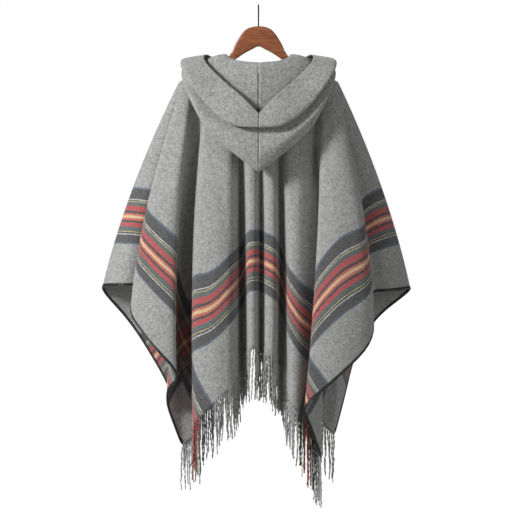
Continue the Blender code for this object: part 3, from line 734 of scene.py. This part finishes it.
EDGES = {}
for side, start, stop in (("left", "corner_fl", "corner_left"),
                          ("right", "corner_right", "corner_fr")):
    span = slice(column_of(start), column_of(stop) + 1)
    EDGES["side_" + side] = (body_grid[-1][span], body_grid[-2][span],
                             body_normals[-1][span], body_normals[-2][span])
front_rows = [i for i, level in enumerate(LEVELS) if level > 0.03]
for side, edge, inner in (("left", 0, 1), ("right", -1, -2)):
    EDGES["front_" + side] = tuple([source[i][k] for i in front_rows] for source, k in (
        (body_grid, edge), (body_grid, inner), (body_normals, edge), (body_normals, inner)))
bindings = {key: binding("binding_cloth_" + key, *lines) for key, lines in EDGES.items()}
print("bindings", sorted(bindings))

# %% [markdown]
# ## Repeats along a line
# Stitches and cords repeat hundreds of times on the real cape.  An Array modifier could
# repeat them in a straight row; one Geometry Nodes group sets them along any line at a real
# spacing, each a little different.  Its inputs are named, its seed is fixed, and the result
# is made into plain geometry at the end.

# %% Repeats along a line
def repeat_group():
    tree = bpy.data.node_groups.new("along_line", "GeometryNodeTree")
    for label, kind, way in (
            ("Line", "NodeSocketGeometry", "INPUT"), ("Item", "NodeSocketObject", "INPUT"),
            ("Spacing", "NodeSocketFloat", "INPUT"), ("Follow", "NodeSocketFloat", "INPUT"),
            ("Tilt", "NodeSocketVector", "INPUT"), ("Stretch", "NodeSocketFloat", "INPUT"),
            ("Wave", "NodeSocketFloat", "INPUT"), ("Seed", "NodeSocketInt", "INPUT"),
            ("Material", "NodeSocketMaterial", "INPUT"),
            ("Result", "NodeSocketGeometry", "OUTPUT")):
        tree.interface.new_socket(label, in_out=way, socket_type=kind)
    n = Nodes(tree)
    source = n.add("NodeGroupInput")
    curve = n.add("GeometryNodeMeshToCurve", {"Mesh": source.outputs["Line"]})
    spaced = n.add("GeometryNodeResampleCurve", {
        "Curve": curve.outputs["Curve"], "Length": source.outputs["Spacing"]}, mode="LENGTH")
    item = n.add("GeometryNodeObjectInfo", {"Object": source.outputs["Item"]})
    low = n.add("ShaderNodeVectorMath", {0: source.outputs["Tilt"], "Scale": -1.0},
                operation="SCALE")
    tilt = n.add("FunctionNodeRandomValue", {
        0: low.outputs[0], 1: source.outputs["Tilt"], "Seed": source.outputs["Seed"]},
        data_type="FLOAT_VECTOR")
    turned = n.add("FunctionNodeAlignRotationToVector", {
        "Rotation": tilt.outputs[0], "Factor": source.outputs["Follow"],
        "Vector": n.add("GeometryNodeInputTangent").outputs[0]}, axis="X")
    length = n.add("FunctionNodeRandomValue", {
        2: n.math("SUBTRACT", 1.0, source.outputs["Stretch"]),
        3: n.math("ADD", 1.0, source.outputs["Stretch"]),
        "Seed": n.math("ADD", source.outputs["Seed"], 7.0)}, data_type="FLOAT")
    scale = n.add("ShaderNodeCombineXYZ", {"X": 1.0, "Y": 1.0, "Z": length.outputs[1]})
    placed = n.add("GeometryNodeInstanceOnPoints", {
        "Points": spaced.outputs["Curve"], "Instance": item.outputs["Geometry"],
        "Rotation": turned.outputs[0], "Scale": scale.outputs[0]})
    real = n.add("GeometryNodeRealizeInstances", {"Geometry": placed.outputs["Instances"]})
    noise = n.add("ShaderNodeTexNoise", {
        "Scale": 45.0, "Detail": 1.0, "Vector": n.add("GeometryNodeInputPosition").outputs[0]})
    centred = n.add("ShaderNodeVectorMath", {0: noise.outputs["Color"], 1: (0.5, 0.5, 0.5)},
                    operation="SUBTRACT")
    wave = n.add("ShaderNodeVectorMath", {
        0: centred.outputs[0], "Scale": source.outputs["Wave"]}, operation="SCALE")
    moved = n.add("GeometryNodeSetPosition", {"Geometry": real.outputs["Geometry"],
                                             "Offset": wave.outputs[0]})
    dressed = n.add("GeometryNodeSetMaterial", {"Geometry": moved.outputs["Geometry"],
                                               "Material": source.outputs["Material"]})
    n.add("NodeGroupOutput", {"Result": dressed.outputs["Geometry"]})
    return tree


ALONG_LINE = repeat_group()


def line_object(name, places, across=None):
    mesh = bpy.data.meshes.new(name)
    mesh.from_pydata([tuple(p * MM) for p in places], [(i, i + 1) for i in range(len(places) - 1)],
                     [])
    if across is not None:
        mesh.attributes.new("cut_across", "FLOAT", "POINT").data.foreach_set(
            "value", [c * MM for c in across])
    return linked(name, mesh)


def repeat(name, places, item, material, spacing, follow=1.0, tilt=(0, 0, 0), stretch=0.08,
           wave=0.0, seed=1, across=None):
    """Copies of an item along a line of places, as one plain mesh."""
    piece = line_object(name, places, across)
    modifier = piece.modifiers.new("along_line", "NODES")
    modifier.node_group = ALONG_LINE
    values = {"Item": item, "Spacing": spacing * MM, "Follow": follow, "Tilt": tilt,
              "Stretch": stretch, "Wave": wave * MM, "Seed": seed, "Material": material}
    for socket in ALONG_LINE.interface.items_tree:
        if socket.in_out == "INPUT" and socket.name in values:
            modifier[socket.identifier] = values[socket.name]
    piece.update_tag()
    graph = bpy.context.evaluated_depsgraph_get()
    graph.update()
    mesh = bpy.data.meshes.new_from_object(piece.evaluated_get(graph),
                                           preserve_all_data_layers=True, depsgraph=graph)
    piece.modifiers.remove(modifier)
    piece.data = mesh
    mesh.shade_smooth()
    return piece


print("group", ALONG_LINE.name)

# %% [markdown]
# ## Stitches
# A lockstitch shows as a short rounded bar of thread sunk half into the strip.  It could be
# a bump in the material, but that has no edge to catch the light.  Rows run down both faces
# of every binding, beside the hood's middle seam on both sides and round its face edge, where
# the hem is turned.

# %% Stitches
STITCH_LENGTH, STITCH_RADIUS, STITCH_PITCH = 3.0, 0.42, 4.6
STITCH_INSET = 0.22         # share of the binding's width from its fold inwards
TOPSTITCH_COLUMN, HEM_TURN_ROWS = 2, 6      # in the hood's grid


def stitch_item():
    sides, rings = 6, []
    for share in (-1.0, -0.8, 0.0, 0.8, 1.0):
        radius = STITCH_RADIUS * (0.25 if abs(share) == 1 else 0.85 if share else 1.0)
        angles = [math.tau * k / sides for k in range(sides)]
        rings.append([Vector((share * STITCH_LENGTH / 2, radius * math.cos(angle),
                              radius * math.sin(angle))) for angle in angles])
    points, faces = tube(rings)
    mesh = bpy.data.meshes.new("stitch_item")
    mesh.from_pydata(points, [], faces)
    return linked("stitch_item", mesh)


STITCH = stitch_item()
stitch_pieces = []
for key, (edges, inners, _, n_inners) in EDGES.items():
    for face, sign in (("outer", 1.0), ("inner", -1.0)):
        height = WALL / 2 + BIND_CLEAR + BIND_WALL
        places = [i.lerp(e, STITCH_INSET) + n * sign * height
                  for e, i, n in zip(edges, inners, n_inners)]
        stitch_pieces.append(repeat("stitches_%s_%s" % (key, face), places, STITCH, THREAD,
                                    STITCH_PITCH))
hood_stitches = []
for label, (piece, grid, normals) in hoods.items():
    for kind, cells in (
            ("seam", [(j, TOPSTITCH_COLUMN)
                      for j in range(int(HOOD_ALONG * 0.45), HOOD_ALONG - 2)]),
            ("face", [(HOOD_ALONG - HEM_TURN_ROWS, i) for i in range(1, HOOD_ACROSS)])):
        places = [grid[j][i] + normals[j][i] * (WALL / 2) for j, i in cells]
        hood_stitches.append(repeat("stitches_hood_%s_%s" % (kind, label), places, STITCH,
                                    GREY_THREAD, STITCH_PITCH))
bpy.data.objects.remove(STITCH, do_unlink=True)
print("stitch rows", len(stitch_pieces) + len(hood_stitches))

# %% [markdown]
# ## Fringe
# The blanket's warp ends are twisted in pairs into cords about 12 cm long, which hang from
# the hems by their own weight.  Hair curves could make them, but would not show the twist.
# Each cord here is two plies wound round each other, 5.6 mm across at the hem and 3.6 mm at
# the tip.  Cords below a side band are dyed like its yarns; all others are grey.

# %% Fringe
CORD_LENGTH, PLY_RADIUS, CORD_TURNS, CORD_STEPS, PLY_SIDES = 124.0, 1.5, 4.5, 18, 5
CORD_SPACING = 8.0
CORD_TILT = (0.045, 0.045, 3.1)      # radians each way
CORD_STRETCH, CORD_WAVE = 0.16, 9.0 # share of the length, mm


def cord_item():
    points, faces = [], []
    for ply in range(2):
        base = len(points)
        for step in range(CORD_STEPS + 1):
            share = step / CORD_STEPS
            turn = math.tau * CORD_TURNS * share + math.pi * ply
            slim = 1.0 - 0.35 * share
            centre = Vector((math.cos(turn), math.sin(turn), 0)) * PLY_RADIUS * 0.85 * slim
            centre.z = 5.0 - (CORD_LENGTH + 5.0) * share
            for k in range(PLY_SIDES):
                angle = math.tau * k / PLY_SIDES
                points.append((centre + Vector((math.cos(angle), math.sin(angle), 0))
                               * PLY_RADIUS * slim) * MM)
        for step in range(CORD_STEPS):
            for k in range(PLY_SIDES):
                a = base + step * PLY_SIDES + k
                b = base + step * PLY_SIDES + (k + 1) % PLY_SIDES
                faces.append((a, a + PLY_SIDES, b + PLY_SIDES, b))
        end = base + CORD_STEPS * PLY_SIDES
        faces.append(tuple(range(base, base + PLY_SIDES)))
        faces.append(tuple(range(end + PLY_SIDES - 1, end - 1, -1)))
    mesh = bpy.data.meshes.new("cord_item")
    mesh.from_pydata([tuple(p) for p in points], [], faces)
    return linked("cord_item", mesh)


CORD = cord_item()
fringes = {}
for key, start, stop, seed in (("front_left", "front_edge_left", "corner_fl", 11),
                               ("back", "corner_left", "corner_right", 12),
                               ("front_right", "corner_fr", "front_edge_right", 13)):
    first, last = column_of(start), column_of(stop)
    first, last = first + 2 * (start == "front_edge_left"), last - 2 * (stop == "front_edge_right")
    columns = range(first, last + 1)
    fringes[key] = repeat("fringe_cords_" + key, [body_grid[-1][j] for j in columns], CORD, YARN,
                          CORD_SPACING, follow=0.0, tilt=CORD_TILT,
                          stretch=CORD_STRETCH, wave=CORD_WAVE, seed=seed,
                          across=[body_cut[-1][j][0] for j in columns])
    print("fringe", key, len(fringes[key].data.polygons), "faces")
bpy.data.objects.remove(CORD, do_unlink=True)

# %% [markdown]
# ## Hanger
# A shaped wooden arm, sawn and sanded round, with a stained and lacquered face, and a black
# wire hook screwed into it.  A bevelled cube could stand for the arm; rings through a table of
# sections follow its swelling outline.  The hook is seen edge-on, so only its shank shows in
# front, and it is a bevelled curve.

# %% Hanger
ARM_SECTIONS = (
    (0, -56, -111, 7.0), (18, -58, -119, 7.0), (37, -67, -129, 7.0), (62, -102, -146, 6.0),
    (72, -124, -155, 5.0), (84, -142, -164, 4.8), (92, -151, -170, 5.0),
    (100, -156, -174, 5.4), (130, -169, -188, 6.2),
    (165, -189, -208, 6.0), (186, -201, -218, 5.6), (194, -207, -215, 4.0),
)
HOOK_RADIUS = 20.0
HOOK_WIRE = 2.0


def hanger_arm():
    halves = [Vector((-x, top, low)) for x, top, low, w in reversed(ARM_SECTIONS[1:])]
    sections = halves + [Vector((x, top, low)) for x, top, low, w in ARM_SECTIONS]
    widths = [w for *_, w in reversed(ARM_SECTIONS[1:])] + [w for *_, w in ARM_SECTIONS]
    rings, steps, sides = [], 120, 24
    for i in range(steps + 1):
        share = i / steps
        x, top, low = spline(sections, share)
        span = share * (len(widths) - 1)
        k = min(int(span), len(widths) - 2)
        half = widths[k] + (widths[k + 1] - widths[k]) * (span - k)
        middle, tall = (top + low) / 2, (top - low) / 2
        ring = []
        for s in range(sides):
            c, d = math.cos(math.tau * s / sides), math.sin(math.tau * s / sides)
            ring.append(Vector((x, math.copysign(abs(c) ** 0.5, c) * half,
                                middle + math.copysign(abs(d) ** 0.5, d) * tall)))
        rings.append(ring)
    return swept("hanger_wood", rings, WOOD)


def hanger_hook():
    curve = bpy.data.curves.new("hanger_wire", "CURVE")
    curve.dimensions = "3D"
    curve.bevel_depth = HOOK_WIRE * MM
    curve.bevel_resolution = 4
    curve.use_fill_caps = True
    centre = -(HOOK_RADIUS - HOOK_WIRE)
    corners = [Vector((0, 0, -58)), Vector((0, 0, -50)), Vector((0, 1.0, -44)),
               Vector((0, 5.5, -38.5))]
    for step in range(15):
        angle = math.radians(-48 + 248 * step / 14)
        corners.append(Vector((0, HOOK_RADIUS * math.cos(angle),
                               centre + HOOK_RADIUS * math.sin(angle))))
    places = [spline(corners, k / 72) for k in range(73)]
    line = curve.splines.new("POLY")
    line.points.add(len(places) - 1)
    for point, place in zip(line.points, places):
        point.co = (*(place * MM), 1.0)
    curve.materials.append(WIRE)
    return linked("hanger_wire", curve)


arm, hook = hanger_arm(), hanger_hook()
print("hanger", len(arm.data.polygons), "faces")

# %% [markdown]
# ## What rides on what
# Nothing here moves by itself, so everything could be one object; separate pieces keep their
# names and materials.  All ride on the one body, and the model's solids that they stand for
# are hidden.

# %% What rides on what
everything = [cloak, arm, hook, *bindings.values(), *fringes.values(), *stitch_pieces,
              *hood_stitches, *(piece for piece, grid, normals in hoods.values())]
for piece in everything:
    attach(piece, "root")
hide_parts(*BODY_NODES)
for label, (piece, grid, normals) in hoods.items():
    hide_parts("hood_" + label)
for key, piece in bindings.items():
    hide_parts("binding_" + key)
for key, piece in fringes.items():
    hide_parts("fringe_" + key)
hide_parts("hanger_arm")
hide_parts("hanger_hook")
print(len(everything), "pieces")

# %% [markdown]
# ## Floor, backdrop and light
# The photograph is a cut-out on white with soft light from the upper left: the left side of
# each fold is bright and its right side falls into shade.  A picture of a studio could light
# it; three lamps are easier to aim.  The key stands up left, a weak one fills from the right,
# one stands behind, and the pure white backdrop is seen only by the camera.

# %% Floor, backdrop and light
WHITE = (1.0, 1.0, 1.0, 1.0)
FLOOR_HEIGHT = -1.62
SKY_LIGHT = 0.20            # what the world gives the cloth; the camera sees plain white


def stage_material():
    material = bpy.data.materials.new("stage_white")
    material.use_nodes = True
    n = Nodes(material.node_tree)
    material.node_tree.nodes.clear()
    seen = n.add("ShaderNodeLightPath").outputs["Is Camera Ray"]
    glow = n.add("ShaderNodeEmission", {"Color": WHITE, "Strength": 1.0})
    dull = n.add("ShaderNodeBsdfDiffuse", {"Color": (0.5, 0.5, 0.5, 1)})
    mix = n.add("ShaderNodeMixShader", {0: seen, 1: dull.outputs[0], 2: glow.outputs[0]})
    n.add("ShaderNodeOutputMaterial", {"Surface": mix.outputs[0]})
    return material


floor_mesh = bpy.data.meshes.new("stage_floor")
floor_mesh.from_pydata([(x, y, FLOOR_HEIGHT) for x, y in ((-9, -9), (9, -9), (9, 9), (-9, 9))],
                       [], [(0, 1, 2, 3)])
floor_mesh.materials.append(stage_material())
floor = linked("stage_floor", floor_mesh)

world = bpy.data.worlds.new("studio")
world.use_nodes = True
scene.world = world
n = Nodes(world.node_tree)
seen = n.add("ShaderNodeLightPath").outputs["Is Camera Ray"]
backdrop = world.node_tree.nodes["Background"]
n.put(backdrop.inputs["Color"], WHITE)
n.put(backdrop.inputs["Strength"], n.math("ADD", n.math("MULTIPLY", seen, 1.0 - SKY_LIGHT),
                                           SKY_LIGHT))


def lamp(name, place, target, size, power):
    data = bpy.data.lights.new(name, "AREA")
    data.shape, data.size, data.energy = "DISK", size, power
    light = linked(name, data)
    light.location = place
    light.rotation_euler = (Vector(target) - Vector(place)).to_track_quat("-Z", "Y").to_euler()


AIM = (0, 0, -0.6)
lamp("key", (-3.0, -2.2, 1.2), AIM, 0.9, 185)
lamp("fill", (2.6, -3.4, 0.2), AIM, 2.0, 26)
lamp("behind", (1.2, 3.6, 1.0), AIM, 1.6, 70)
scene.render.engine = "CYCLES"
scene.view_settings.view_transform = "Standard"
scene.view_settings.look = "None"
scene.cycles.samples = 96
scene.cycles.use_denoising = True
print("lights", len(bpy.data.lights))
